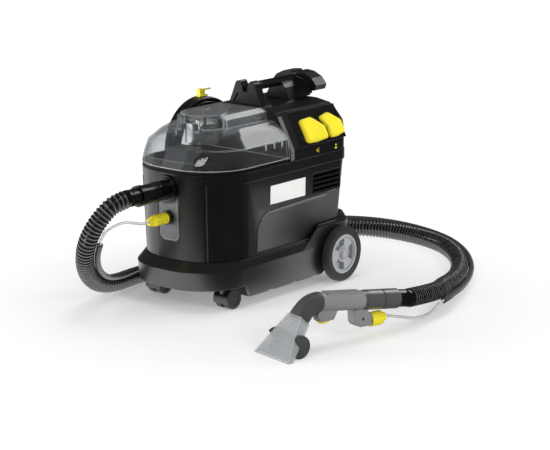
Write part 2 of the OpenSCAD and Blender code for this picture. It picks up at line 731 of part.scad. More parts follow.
// Hub with a deep rim and three windows between its spokes.
module wheel_hub(s) at_wheel(s) difference() {
    union() {
        bar_x(rim_r, wheel_in + 1, wheel_out - 1.5);
        bar_x(11, wheel_in - 1, wheel_out);
    }
    // dished face
    translate([wheel_out - 4, 0, 0]) rotate([0, 90, 0]) rotate_extrude() translate([14, 0]) square([24.5, 4]);
    // windows
    for (a = [90, 210, 330])
        rotate([a, 0, 0]) translate([wheel_out - 13, 0, 0]) rotate([0, 90, 0]) rotate([0, 0, -33])
            rotate_extrude(angle = 66) translate([19, 0]) square([16, 20]);
    bar_x(axle_r + fit, wheel_in - 5, wheel_out - 2.5);
}
module wheel_tyre(s) at_wheel(s) translate([wheel_in, 0, 0]) rotate([0, 90, 0]) rotate_extrude()
    difference() {
        polygon([[rim_r + 0.01, 1], [rim_r + 2, 0], [wheel_r - 5, 0], [wheel_r - 1.5, 2], [wheel_r, 5],
            [wheel_r, wheel_w - 5], [wheel_r - 1.5, wheel_w - 2], [wheel_r - 5, wheel_w], [rim_r + 2,
            wheel_w],
            [rim_r + 0.01, wheel_w - 1.5]]);
        for (z = [wheel_w / 2 - 3, wheel_w / 2 + 3])
            translate([wheel_r, z]) circle(1, $fn = 24);
    }
module wheel_hub_right() color("#c2c3c5") wheel_hub(1);
module wheel_hub_left() color("#c2c3c5") wheel_hub(-1);
module wheel_tyre_right() color("#1b1b1b") wheel_tyre(1);
module wheel_tyre_left() color("#1b1b1b") wheel_tyre(-1);

// ---- Casters ----
trail = 14;
caster_w = 40;
hood_r = caster_r + 2.4;
pin_r = 3;
web = 6;
module at_caster(s) translate([s * caster_track / 2, caster_y, 0]) children();

module caster_hood(s) at_caster(s) difference() {
    union() {
        translate([0, trail, caster_r]) difference() {
            bar_x(hood_r, -caster_w / 2, caster_w / 2);
            for (k = [-1, 1])
                translate([k > 0 ? web / 2 : -caster_w, 0, 0]) bar_x(caster_r + 0.8, 0, caster_w - web / 2);
            // open at the rear and below
            translate([-50, 6, -60]) cube([100, 60, 120]);
            translate([-50, -60, -60]) cube([100, 120, 52]);
        }
        translate([0, trail, caster_r]) bar_x(8, -web / 2, web / 2);
        translate([0, 0, caster_r]) cylinder(r = stem_r + 3, h = hood_r);
        translate([0, 0, caster_r]) cylinder(r = stem_r, h = stem_top - caster_r - 1);
    }
    // room for the wheels beside the stem
    for (k = [-1, 1])
        translate([k > 0 ? web / 2 : -caster_w, trail, caster_r]) bar_x(caster_r + 0.8, 0,
            caster_w - web / 2);
    translate([0, trail, caster_r]) bar_x(pin_r + fit / 2, -30, 30);
    translate([-30, -30, bumper_z - 0.5]) difference() {
        cube([60, 60, 40]);
        translate([30, 30, -1]) cylinder(r = stem_r, h = 60);
    }
}
module caster_axle(s) at_caster(s) translate([0, trail, caster_r]) bar_x(pin_r, 5.2 - caster_w / 2,
    caster_w / 2 - 5.2);
module caster_wheels(s) at_caster(s) translate([0, trail, caster_r]) for (k = [-1, 1])
    mirror([k > 0 ? 0 : 1, 0, 0]) difference() {
        translate([web / 2 + 0.8, 0, 0]) rotate([0, 90, 0]) rotate_extrude() polygon([[0, 0],
            [caster_r - 1, 0],
            [caster_r, 1], [caster_r, 13], [caster_r - 1.5, 15.5], [15, 15.5], [14, 14], [0, 14]]);
        bar_x(pin_r + fit, -1, caster_w / 2 - 4.8);
    }
module caster_hood_right() color("#161616") caster_hood(1);
module caster_hood_left() color("#161616") caster_hood(-1);
module caster_axle_right() color("silver") caster_axle(1);
module caster_axle_left() color("silver") caster_axle(-1);
module caster_wheels_right() color("#9a9b9d") caster_wheels(1);
module caster_wheels_left() color("#9a9b9d") caster_wheels(-1);

// ---- Swept tubes ----
function unit(v) = v / norm(v);

// Point on a Catmull-Rom curve through the list, at t from 0 to 1 over the whole list.
function on_curve(p, t) =
    let (n = len(p) - 1, s = min(t * n, n - 0.00001), i = floor(s), u = s - i,
        a = p[max(i - 1, 0)], b = p[i], c = p[i + 1], d = p[min(i + 2, n)])
    0.5 * (2 * b + (c - a) * u + (2 * a - 5 * b + 4 * c - d) * u * u + (3 * b - 3 * c + d - a) * u * u * u);

// Running length of a row of points.
function run(p) = [for (i = 0, s = 0; i < len(p); s = i + 1 < len(p) ? s + norm(p[i + 1] - p[i]) : s,
    i = i + 1) s];

// The row of points resampled to n evenly spaced ones.
function even(p, n) =
    let (s = run(p), total = s[len(s) - 1])
    [for (k = [0 : n - 1])
        let (want = min(total * k / (n - 1), total - 0.0001),
            i = search_run(s, want, 0, len(s) - 1),
            f = (want - s[i]) / (s[i + 1] - s[i]))
        p[i] + (p[i + 1] - p[i]) * f];
function search_run(s, want, lo, hi) = hi - lo <= 1 ? lo :
    let (mid = floor((lo + hi) / 2)) s[mid] <= want ? search_run(s, want, mid, hi) : search_run(s, want,
        lo, mid);

function curve(p, fine) = [for (i = [0 : fine]) on_curve(p, i / fine)];
function tangent(p, i) = unit(p[min(i + 1, len(p) - 1)] - p[max(i - 1, 0)]);

// Side vectors carried along the row without twist.
function carried(p, first) = [for (i = 0, n = unit(first - (first * tangent(p, 0)) * tangent(p,
    0)); i < len(p);
    i = i + 1, n = i < len(p) ? let (t = tangent(p, i)) unit(n - (n * t) * t) : n) n];

// Ring of points round p[i].
function ring(c, t, n, r, sides) = let (b = cross(t, n))
    [for (k = [0 : sides - 1]) c + r * (cos(360 * k / sides) * n + sin(360 * k / sides) * b)];

// Solid tube along a row of points, with one radius or one per point.
module sweep(p, r, sides, first = [0, 0, 1]) {
    m = len(p);
    n = carried(p, first);
    points = [for (i = [0 : m - 1]) each ring(p[i], tangent(p, i), n[i], is_list(r) ? r[i] : r, sides)];
    faces = [
        [for (k = [sides - 1 : -1 : 0]) k],
        for (i = [0 : m - 2], k = [0 : sides - 1])
            let (a = i * sides + k, b = i * sides + (k + 1) % sides)
            each [[a, b, b + sides], [a, b + sides, a + sides]],
        [for (k = [0 : sides - 1]) (m - 1) * sides + k]];
    polyhedron(points, [for (f = faces) [for (j = [len(f) - 1 : -1 : 0]) f[j]]], convexity = 8);
}

// Hollow tube: the outer rings and, along its own row, the inner rings.
module hollow_sweep(p, r, bore, step, sides, first = [0, 0, 1]) {
    m = len(p);
    n = carried(p, first);
    inner = [for (i = [0 : step : m - 2]) i, m - 1];
    q = len(inner);
    outer_points = [for (i = [0 : m - 1]) each ring(p[i], tangent(p, i), n[i], r[i], sides)];
    inner_points = [for (i = inner) each ring(p[i], tangent(p, i), n[i], bore, sides)];
    o = m * sides;
    faces = [
        for (i = [0 : m - 2], k = [0 : sides - 1])
            let (a = i * sides + k, b = i * sides + (k + 1) % sides)
            each [[a, b + sides, b], [a, a + sides, b + sides]],
        for (i = [0 : q - 2], k = [0 : sides - 1])
            let (a = o + i * sides + k, b = o + i * sides + (k + 1) % sides)
            each [[a, b, b + sides], [a, b + sides, a + sides]],
        for (k = [0 : sides - 1]) let (b = (k + 1) % sides) each [[k, b, o + b], [k, o + b, o + k]],
        for (k = [0 : sides - 1])
            let (b = (k + 1) % sides, e = (m - 1) * sides, g = o + (q - 1) * sides)
            each [[e + k, g + b, e + b], [e + k, g + k, g + b]]];
    polyhedron(concat(outer_points, inner_points), faces, convexity = 8);
}

// ---- Where the hand tool lies ----
tool_x = 407;
tool_y = -378;
tool_yaw = -13;
handle_drop = 7.3;
bend_c = [108, 50];
bend_r = 46;
neck_a = 48;
tool_bore = 15.5;
function tool_point(x, u, z) = [tool_x + x * cos(tool_yaw) - u * sin(tool_yaw),
    tool_y + x * sin(tool_yaw) + u * cos(tool_yaw), z];
// Where the bend ends and the straight handle begins, and the handle's direction.
handle_u = bend_c[0] + bend_r * sin(handle_drop);
handle_z = bend_c[1] + bend_r * cos(handle_drop);
cuff_len = 94;
tool_cuff_end = handle_len + cuff_len;
tool_end = tool_point(0, handle_u + tool_cuff_end * cos(handle_drop),
    handle_z - tool_cuff_end * sin(handle_drop));
tool_dir = unit(tool_point(0, cos(handle_drop), -sin(handle_drop)) - tool_point(0, 0, 0));

nut_u = 287;
nut_z = 36;

// ---- Suction hose ----
cuff_r = 21;
cuff_end = -335;
// Hand-chosen points of the hose's middle line, from the machine's cuff to the tool's.
hose_route = [[0, cuff_end, port_z], [0, cuff_end - 24, port_z], [0, cuff_end - 36, port_z], [-14, -402, 247],
    [-38, -422, 208], [-62, -424, 164], [-90, -402, 118], [-120, -360, 76], [-150, -300, 42], [-172, -230,
    24], [-184, -150, 21], [-190, -40, 21], [-192, 80, 21],
    [-190, 200, 21], [-182, 310, 21], [-160, 410, 21], [-118, 490, 21], [-60, 536, 21], [10, 556, 21],
    [90, 552, 21],
    [170, 526, 21], [245, 474, 21], [310, 404, 21], [362, 324, 24], [406, 238, 32], [440, 156, 42],
    [468, 84, 50], tool_end + 40 * tool_dir, tool_end + 24 * tool_dir, tool_end];
hose_points = curve(hose_route, 600);
hose_length = run(hose_points)[600];

// Ribs: each is a crest ring and a trough ring; the ends run straight and plain.
hose_rings = even(hose_points, 2 * hose_ribs + 1);
hose_radii = [for (i = [0 : 2 * hose_ribs]) (i < 4 || i > 2 * hose_ribs - 4) ? hose_r - 1.5 :
    (i % 2 == 0 ? hose_r : hose_r - 2.6)];
module suction_hose() color("#1a1a1a") hollow_sweep(hose_rings, hose_radii, hose_bore, 7, 8);

// Sleeve clipped along the hose, which carries the spray tube.
sleeve_r = 6.5;
sleeve_rings = 60;
sleeve_line = even(hose_points, 121);
sleeve_normals = carried(sleeve_line, [0, 0, 1]);
function beside_hose(i, away) = let (t = tangent(sleeve_line, i), n = sleeve_normals[i], b = cross(t, n),
    f = i / 120, a = 200 - 250 * f) sleeve_line[i] + away * (cos(a) * n + sin(a) * b);
sleeve_first = 9;
sleeve_last = 111;
sleeve_route = [for (i = [sleeve_first : 2 : sleeve_last]) beside_hose(i, hose_r + sleeve_r + seat)];
module hose_sleeve() color("#4b4d50") sweep(sleeve_route, sleeve_r, 8);

// Clear spray tube at the machine and at the tool.
spray_r = 3;
sleeve_dir = unit(sleeve_route[0] - sleeve_route[1]);
spray_machine = [[0, coupling_y[0] + 7.5, coupling_z], [0, -312, 200], [0, -331, 203], [-1, -369, 212],
    [-7, -393, 209], [-19, -408, 198], sleeve_route[0] + 20 * sleeve_dir,
    sleeve_route[0] + seat * sleeve_dir];
module spray_tube_machine() color("white") sweep(even(curve(spray_machine, 60), 26), spray_r, 8, [1, 0, 0]);

sleeve_end = sleeve_route[len(sleeve_route) - 1];
sleeve_out = unit(sleeve_end - sleeve_route[len(sleeve_route) - 2]);
spray_tool = [tool_point(0, nut_u - 4, nut_z), tool_point(0, nut_u + 12, nut_z - 1), [480, -62, 26], [487,
    -20, 16],
    [493, 22, 16], [495, 50, 25], sleeve_end + 20 * sleeve_out, sleeve_end + seat * sleeve_out];
module spray_tube_tool() color("white") sweep(even(curve(spray_tool, 60), 30), spray_r, 8, [1, 0, 0]);

// Cuff of the hose in the machine's port.
module machine_cuff() color("#161616") translate([0, 0, port_z]) difference() {
    union() {
        bar_y(cuff_r, -334.7, port_back - 2 - seat);
        bar_y(cuff_r + 1.5, -334.7, -322);
        bar_y(cuff_r + 1.2, -284, -276);
    }
    bar_y(hose_bore, -340, -200);
}

// ---- Power cord ----
module power_cord_coil() color("#111111") sweep(coil_route, cord_r, 6, [1, 0, 0]);

// Piled turns: a quarter of them to a layer, spiralling in and out again, climbing in the half turn between.
layer_turns = cord_turns / 4;
function coil_radius(t) = let (k = floor(t / layer_turns), f = t - k * layer_turns)
    coil_in + coil_pitch * (k % 2 == 0 ? layer_turns - f : f);
function coil_side(t) = let (k = round(t / layer_turns), d = t - k * layer_turns)
    let (base = k < 1 || k > 3 ? floor(t / layer_turns) : k - 0.5 + max(-0.5, min(0.5, 2 * d)))
    coil_x - coil_pitch * min(3, max(0, base));
coil_steps = 24;
coil_start = -90;
coil_route = [for (i = [0 : coil_steps * cord_turns]) let (t = i / coil_steps, a = coil_start - 360 * t)
    [coil_side(t), coil_y + coil_radius(t) * cos(a), coil_z + coil_radius(t) * sin(a)]];
coil_gap = min([for (i = [0 : len(coil_route) - 1], j = [i + 12 : 1 : min(i + 4 * coil_steps,
    len(coil_route) - 1)])
    norm(coil_route[i] - coil_route[j])]) - 2 * cord_r;
coil_length = run(coil_route)[len(coil_route) - 1];
echo(coil_gap = coil_gap, coil_length = coil_length, hose_length = hose_length);

lead_route = [[gland_end, gland_y, gland_z], [-169, 195, 324], [-186, 191, 312], [-197, 182, 290], [-196,
    169, 257],
    [-183, 149, 222], [-165, 123, 198], [-153, 96, 187], coil_route[0] + [0, 20, 0], coil_route[0] + [0,
    seat, 0]];
module power_cord_lead() color("#111111") sweep(even(curve(lead_route, 60), 24), cord_r, 8, [1, 0, 0]);
coil_last = coil_route[len(coil_route) - 1];
plug_at = [-178, -2, 120];
tail_route = [coil_last - [0, seat, 0], coil_last - [0, 14, 0], [-175, 20, 178], [-177, 7, 167], [-178,
    -1, 151],
    [-178, -2, 130], plug_at];
module power_cord_tail() color("#111111") sweep(even(curve(tail_route, 60), 16), cord_r, 8, [1, 0, 0]);
module power_plug() color("#151515") translate(plug_at - [0, 0, seat]) rotate([180, 0, 0]) {
    cylinder(r1 = 7, r2 = 11, h = 22);
    translate([0, 0, 22]) cylinder(r = 18, h = 20);
    for (s = [-1, 1])
        translate([0, s * 9.5, 42]) cylinder(r = 2.4, h = 19);
}

// Clip that holds the coil's turns together.
clip_y = coil_y + 4;
module cord_clip() color("#f2e62b") {
    top = coil_z + coil_in + coil_pitch * (layer_turns - 0.5) + cord_r + seat;
    translate([coil_x - 20, clip_y - 14, top]) cube([12, 28, 3]);
    translate([coil_x - 19, clip_y - 12, top + 3]) cube([10, 16, 14]);
    translate([coil_x - 16, clip_y + 2, top + 13]) cube([4, 26, 3]);
}

// ---- Hand tool ----
module at_tool() translate([tool_x, tool_y, 0]) rotate([0, 0, tool_yaw]) children();
module on_handle() translate([0, handle_u, handle_z]) rotate([-handle_drop, 0, 0]) children();

trigger_hinge = [140, 59];
trigger_pin = 1.5;
module handle_shell() color("#838587") at_tool() {
    difference() {
        union() {
            on_handle() bar_y(tube_r, 0.2, handle_len);
            // flat-topped back of the handle
            on_handle() translate([-12, 14, 8]) cube([24, handle_len - 20, 12.5]);
            // trigger housing under the front
            side_prism([[104, 70], [112, 56], [146, 56], [156, 74], [150, 84], [110, 84]], -11, 11);
        }
        on_handle() bar_y(tool_bore, -10, handle_len + 10);
        // room for the trigger to swing up
        side_prism([[112, 50], [112, 66], [143, 65], [143, 50]], -8, 8);
        on_handle() bar_y(tube_r + 2, -60, 0.2);
    }
    // pin of the trigger
    translate([0, trigger_hinge[0], trigger_hinge[1]]) bar_x(trigger_pin, -9, 9);
}

// Dark cover over the bend, with the neck that the nozzle plugs onto.
neck_len = 14;
module bend_cover() color("#4d4f52") at_tool() {
    translate([0, bend_c[0], bend_c[1]]) rotate([90, 0, 90])
        rotate([0, 0, 90 - handle_drop]) rotate_extrude(angle = neck_a + handle_drop)
            translate([bend_r, 0]) tool_ring();
    // collar at the lower end of the bend
    neck() translate([0, 0, -1]) linear_extrude(neck_len + 1) tool_ring(0.6);
}
module tool_ring(more = 0) difference() {
    circle(tube_r + 1.5 + more);
    circle(tool_bore - more);
}
// Moves children to the bend's front end, with z running down the neck.
module neck() translate([0, bend_c[0] - bend_r * sin(neck_a), bend_c[1] + bend_r * cos(neck_a)])
    rotate([90 + neck_a, 0, 0]) children();

// Fan between the neck and the lip, or with t its inside.
lip_depth = 12;
module fan(t) {
    hull() {
        neck() translate([t - tube_r - 1, t - 15, neck_len + 0.3 - (t > 0 ? 2 : 0)])
            cube([2 * (tube_r + 1 - t), 30 - 2 * t, 1]);
        translate([t - lip_w / 2, t - 5, t > 0 ? -2 : 0]) cube([lip_w - 2 * t, lip_depth - 2 * t, 1 + 2]);
    }
}
module nozzle_window() color([0.85, 0.88, 0.9, 0.5]) at_tool() difference() {
    fan(0);
    fan(2.5);
}

// Back of the nozzle: side cheeks and the round hood over the spray jet.
hood_c = [36, 24.5];
hood_rad = 24;
hood_w = lip_w - 26;
module nozzle_body() color("#5c5e61") at_tool() difference() {
    translate([0, hood_c[0], hood_c[1]]) bar_x(hood_rad, -hood_w / 2, hood_w / 2);
    translate([0, hood_c[0], hood_c[1]]) bar_x(hood_rad - 3, 3 - hood_w / 2, hood_w / 2 - 3);
    // open below, and cut back behind the fan
    translate([3 - hood_w / 2, hood_c[0] - 16, -5]) cube([hood_w - 6, 28, 20]);
    hull() {
        fan(-seat);
        translate([-lip_w / 2, -60, -1]) cube([lip_w, 10, 90]);
    }
}
module spray_jet() color("#f2e62b") at_tool() translate([0, 0, hood_c[1] - 6])
    bar_y(4, hood_c[0] + 6, hood_c[0] + sqrt(pow(hood_rad - 3, 2) - 100) - seat);

module spray_trigger() color("#f2e62b") at_tool() difference() {
    side_prism([[115, 61], [114, 52], [124, 50], [138, 53], [142, 58], [142, 61]], -7, 7);
    translate([0, trigger_hinge[0], trigger_hinge[1]]) bar_x(trigger_pin + fit, -10, 10);
}

module valve_block() color("#7b7d80") at_tool() difference() {
    side_prism([[199, 66], [201, 40], [206, 32], [214, 28], [246, 27], [247, 50], [238, 54], [232, 66]],
        -12, 12);
    on_handle() bar_y(tube_r + seat, -10, 300);
    on_handle() bar_y(tube_r + 1.5 + seat, handle_len, 300);
    translate([0, 222, 44]) bar_x(3, 8, 20);
    translate([0, 0, nut_z]) bar_y(6, 236, 260);
}
module tool_screw() color("#3a3b3d") at_tool() translate([0, 222, 44]) bar_x(2.9, 8.3, 11.5);
module coupling_nut() color("#f2e62b") at_tool() translate([0, 0, nut_z]) difference() {
    union() {
        bar_y(5.9, 238, 250);
        bar_y(15, 247.3, 276);
        bar_y(9, 276, nut_u);
    }
    for (a = [0 : 30 : 330])
        rotate([0, a, 0]) translate([15.4, 0, 0]) bar_y(1.6, 252, 272);
    bar_y(spray_r + seat, nut_u - 10, nut_u + 1);
}

module tool_cuff() color("#161616") at_tool() on_handle() difference() {
    union() {
        bar_y(tube_r + 0.5, handle_len + seat, handle_len + 8);
        bar_y(tube_r + 1.5, handle_len + 8, handle_len + 50);
        bar_y(tube_r, handle_len + 49, handle_len + 54);
        bar_y(tube_r + 1.5, handle_len + 53, tool_cuff_end - seat);
    }
    bar_y(tool_bore, handle_len - 5, tool_cuff_end + 5);
}

place() chassis();
place() bottom_plate();
place() body_shell();
place() front_panel();
place() label_plate();
place() vent_grille_right();
place() vent_grille_left();
place() fresh_water_tank();
place() dirty_water_tank();
place() intake_duct();
place() rim_seal();
place() tank_lid();
place() float_cage();
place() float_ball();
place() lid_release();
place() motor_housing();
place() control_panel();
place() spray_pedal();
place() suction_pedal();
place() suction_motor();
place() fan_rotor();
place() spray_pump();
place() carry_handle();
place() suction_port();
place() spray_socket();
place() spray_coupling();
place() cord_hook();
place() cord_gland();
place() rear_axle();
place() wheel_hub_right();
place() wheel_tyre_right();
place() wheel_hub_left();
place() wheel_tyre_left();
place() caster_hood_right();
place() caster_axle_right();
place() caster_wheels_right();
place() caster_hood_left();
place() caster_axle_left();
place() caster_wheels_left();
place() machine_cuff();
place() suction_hose();
place() hose_sleeve();
place() tool_cuff();
place() spray_tube_machine();
place() spray_tube_tool();
place() power_cord_coil();
place() power_cord_lead();
place() power_cord_tail();
place() power_plug();
place() cord_clip();
place() handle_shell();
place() bend_cover();
place() nozzle_body();
place() nozzle_window();
place() spray_jet();
place() spray_trigger();
place() valve_block();
place() coupling_nut();
place() tool_screw();
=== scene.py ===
import json
import math

import bmesh
import bpy
import numpy as np
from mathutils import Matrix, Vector
from mathutils.bvhtree import BVHTree

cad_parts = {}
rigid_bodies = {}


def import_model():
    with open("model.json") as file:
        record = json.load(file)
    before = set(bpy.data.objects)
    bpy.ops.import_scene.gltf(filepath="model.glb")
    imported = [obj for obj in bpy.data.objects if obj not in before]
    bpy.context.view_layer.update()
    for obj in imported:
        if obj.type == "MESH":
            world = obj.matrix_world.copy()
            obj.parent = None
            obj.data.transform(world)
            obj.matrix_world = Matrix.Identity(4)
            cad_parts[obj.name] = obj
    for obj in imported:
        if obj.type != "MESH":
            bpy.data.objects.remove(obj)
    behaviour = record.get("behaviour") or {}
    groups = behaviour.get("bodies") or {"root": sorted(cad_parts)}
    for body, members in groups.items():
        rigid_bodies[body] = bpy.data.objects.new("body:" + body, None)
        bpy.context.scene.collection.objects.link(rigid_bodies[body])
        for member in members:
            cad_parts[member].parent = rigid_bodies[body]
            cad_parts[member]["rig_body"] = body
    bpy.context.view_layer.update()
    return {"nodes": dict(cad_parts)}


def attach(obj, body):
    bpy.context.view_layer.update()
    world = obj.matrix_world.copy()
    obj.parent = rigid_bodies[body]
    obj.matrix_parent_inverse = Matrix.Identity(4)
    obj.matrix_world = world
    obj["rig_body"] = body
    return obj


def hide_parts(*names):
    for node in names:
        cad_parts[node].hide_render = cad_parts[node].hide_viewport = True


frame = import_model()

# ---- Camera ----
# The photographer's long lens, off the machine's front right corner. It looks down by 14 degrees
# from nearly five metres away, so the machine's edges hardly run together.
camera_place = Vector((2.8997, -3.4772, 1.2709))
camera_target = Vector((-0.1104, 0.1484, 0.1309))
camera_data = bpy.data.cameras.new("camera")
camera_data.lens = 141.84
camera_data.sensor_width = 36
camera_data.clip_end = 30
camera = bpy.data.objects.new("camera", camera_data)
camera.location = camera_place
camera.rotation_euler = (camera_target - camera_place).to_track_quat("-Z", "Y").to_euler()
bpy.context.scene.collection.objects.link(camera)
bpy.context.scene.camera = camera
bpy.context.scene.view_settings.view_transform = "Standard"


# ---- Suction hose ----
# Corrugated hose of blow-moulded glossy black polyethylene, 40 mm over its ribs. It is pushed into a
# plain cuff at each end, leaves the machine's port, runs round behind it on the floor and comes
# back to the hand tool. What the camera doesn't see of its two metres lies beside the machine.
def at(x, y, z):
    """A point given in millimetres from the middle of the machine, as metres in the frame."""
    return Vector((x - 148, y + 76, z)) / 1000


def smooth_line(points, steps):
    """Points of a Catmull-Rom curve through a list, with so many steps to each stretch."""
    line = []
    for i in range(len(points) - 1):
        a, b, c, d = (points[max(0, min(len(points) - 1, k))] for k in (i - 1, i, i + 1, i + 2))
        for u in np.linspace(0, 1, steps, endpoint=False):
            line.append(0.5 * (2 * b + (c - a) * u + (2 * a - 5 * b + 4 * c - d) * u**2
                               + (3 * b - 3 * c + d - a) * u**3))
    return line + [points[-1]]


def length_of(line):
    return sum((b - a).length for a, b in zip(line, line[1:]))


def even_line(line, count):
    """The same line with so many evenly spaced points."""
    p = np.array([list(v) for v in line])
    run = np.concatenate([[0], np.cumsum(np.linalg.norm(np.diff(p, axis=0), axis=1))])
    want = np.linspace(0, run[-1], count)
    return [Vector(v) for v in np.stack([np.interp(want, run, p[:, k]) for k in range(3)], 1)]


def sides_along(line, first):
    """Unit side vectors, one a point, carried along a line without twist."""
    found, side = [], Vector(first)
    for i in range(len(line)):
        ahead = (line[min(i + 1, len(line) - 1)] - line[max(i - 1, 0)]).normalized()
        side = (side - ahead * side.dot(ahead)).normalized()
        found.append((ahead, side))
    return found


def mesh_piece(name, points, faces, material, body, smooth=True):
    """A new mesh object with one material, riding on a body of the machine."""
    mesh = bpy.data.meshes.new(name)
    mesh.from_pydata([tuple(p) for p in points], [], faces)
    mesh.polygons.foreach_set("use_smooth", [smooth] * len(mesh.polygons))
    mesh.materials.append(material)
    piece = bpy.data.objects.new(name, mesh)
    bpy.context.scene.collection.objects.link(piece)
    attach(piece, body)
    return piece


def tube(name, line, radius, sides, material, body="machine", first=(0, 0, 1), bore=0):
    """A tube along a line, with one radius or one for each point; with a bore it is open."""
    radii = radius if isinstance(radius, list) else [radius] * len(line)
    points, faces = [], []
    frames = sides_along(line, first)
    walls = [(list(range(len(line))), radii)]
    if bore:
        walls.append((list(range(len(line) - 1, -1, -1)), [bore] * len(line)))
    for order, wall in walls:
        for i in order:
            ahead, side = frames[i]
            up = ahead.cross(side)
            for k in range(sides):
                turn = math.tau * k / sides
                points.append(line[i] + wall[i] * (math.cos(turn) * side + math.sin(turn) * up))
    rings = len(points) // sides
    for i in range(rings if bore else rings - 1):
        for k in range(sides):
            a, b = i * sides + k, i * sides + (k + 1) % sides
            c, d = (i + 1) % rings * sides + k, (i + 1) % rings * sides + (k + 1) % sides
            faces.append((a, b, d, c))
    if not bore:
        faces += [tuple(range(sides))[::-1], tuple(range((rings - 1) * sides, rings * sides))]
    return mesh_piece(name, points, faces, material, body)


class Socket:
    """An output of a shader node; sums, differences, products and powers of it add Math nodes."""

    def __init__(self, tree, output):
        self.tree, self.output = tree, output

    def node(self, kind, settings=None, sockets=None, out=0):
        """Adds a node of this kind, set up first, then its sockets; gives back one of its outputs."""
        made = self.tree.nodes.new("ShaderNode" + kind)
        for name, value in (settings or {}).items():
            setattr(made, name, value)
        for name, value in (sockets or {}).items():
            if isinstance(value, Socket):
                self.tree.links.new(value.output, made.inputs[name])
            else:
                made.inputs[name].default_value = value
        return Socket(self.tree, made.outputs[out])

    def maths(self, operation, first, second):
        return self.node("Math", {"operation": operation}, {0: first, 1: second})

    def __add__(self, other):
        return self.maths("ADD", self, other)

    def __sub__(self, other):
        return self.maths("SUBTRACT", self, other)

    def __rsub__(self, other):
        return self.maths("SUBTRACT", other, self)

    def __mul__(self, other):
        return self.maths("MULTIPLY", self, other)

    def __pow__(self, other):
        return self.maths("POWER", self, other)

    __radd__, __rmul__ = __add__, __mul__

    def larger(self, other):
        return self.maths("MAXIMUM", self, other)

    def dot(self, other):
        """The product of two directions, or of a place and a direction, as one number."""
        return self.node("VectorMath", {"operation": "DOT_PRODUCT"}, {0: self, 1: other}, out="Value")

    def clamped(self, low, high):
        """Runs from 0 at low to 1 at high."""
        return self.node("MapRange", {}, {"Value": self, "From Min": low, "From Max": high})

    def colours(self, first, second):
        """A colour between two, by this socket from 0 to 1."""
        return self.node("Mix", {"data_type": "RGBA"}, {0: self, 6: first, 7: second}, out=2)


def new_finish(name, **constants):
    """A material with the fixed values of its shader set; gives it, its shader and its coordinates."""
    material = bpy.data.materials.new(name)
    material.use_nodes = True
    tree = material.node_tree
    shader = tree.nodes["Principled BSDF"]
    for socket, value in constants.items():
        shader.inputs[socket.replace("_", " ")].default_value = value
    place = tree.nodes.new("ShaderNodeTexCoord")
    return material, shader, Socket(tree, place.outputs["Object"])


def feed(shader, **sockets):
    for name, value in sockets.items():
        value.tree.links.new(value.output, shader.inputs[name.replace("_", " ")])


def rgb(red, green, blue):
    """A colour as seen on the screen, 0 to 255, as the shader's linear one."""
    def linear(v):
        v /= 255
        return v / 12.92 if v <= 0.04045 else ((v + 0.055) / 1.055) ** 2.4
    return (linear(red), linear(green), linear(blue), 1)


def plastic(name, colour, rough, grain=0.5, edge=1.5, level=0.5, edge_wear_and_highlight=0.35, grain_size=0.6):
    """Moulded plastic: sparked grain, cloudy gloss, softened edges painted a little paler, as wear and
    as a painted highlight.

    edge is the corner's radius and grain_size the width of a grain, in millimetres; grain is the
    depth of the sparked texture from 0 to 1, level the strength of its reflections and the one after
    it how far an edge pales, as wear and as a painted highlight.
    """
    material, shader, place = new_finish(name, Specular_IOR_Level=level, IOR=1.49)
    rounded = place.node("Bevel", {"samples": 4}, {"Radius": edge / 1000})
    flat = place.node("NewGeometry", out="Normal")
    edge_bend = 1 - rounded.dot(flat)
    patches = place.node("TexNoise", {}, {"Vector": place, "Scale": 14, "Detail": 4})
    specks = place.node("TexNoise", {}, {"Vector": place, "Scale": 1000 / grain_size, "Detail": 2})
    # Edges are painted paler in random patches: partly wear, partly a painted highlight where a rounded
    # edge catches the light.
    edge_wear_and_highlight_mask = (edge_bend * 6 * patches).clamped(0.12, 1.0) * edge_wear_and_highlight
    pale = tuple(min(1, 0.55 * c + 0.1) for c in colour[:3]) + (1,)
    tone = (patches * 0.5 + specks * 0.5).clamped(0.3, 0.7)
    dark = tuple(0.88 * c for c in colour[:3]) + (1,)
    light = tuple(min(1, 1.1 * c) for c in colour[:3]) + (1,)
    feed(shader, Base_Color=edge_wear_and_highlight_mask.colours(tone.colours(dark, light), pale),
         Roughness=patches * 0.1 + specks * 0.06 + edge_wear_and_highlight_mask * 0.15 + (rough - 0.08),
         Normal=place.node("Bump", {}, {"Height": specks, "Normal": rounded, "Strength": 0.5 * grain,
                                        "Distance": 0.0002}))
    return material


hose_outer, hose_trough, hose_bore = 0.020, 0.0170, 0.0155
hose_ribs, hose_sides = 250, 28
tool_yaw, handle_drop = math.radians(-13), math.radians(7.3)
tool_lip = (407, -378)


def tool_at(x, u, z):
    """A point of the hand tool: across it, back along it from its lip, and up, in millimetres."""
    return at(tool_lip[0] + x * math.cos(tool_yaw) - u * math.sin(tool_yaw),
              tool_lip[1] + x * math.sin(tool_yaw) + u * math.cos(tool_yaw), z)


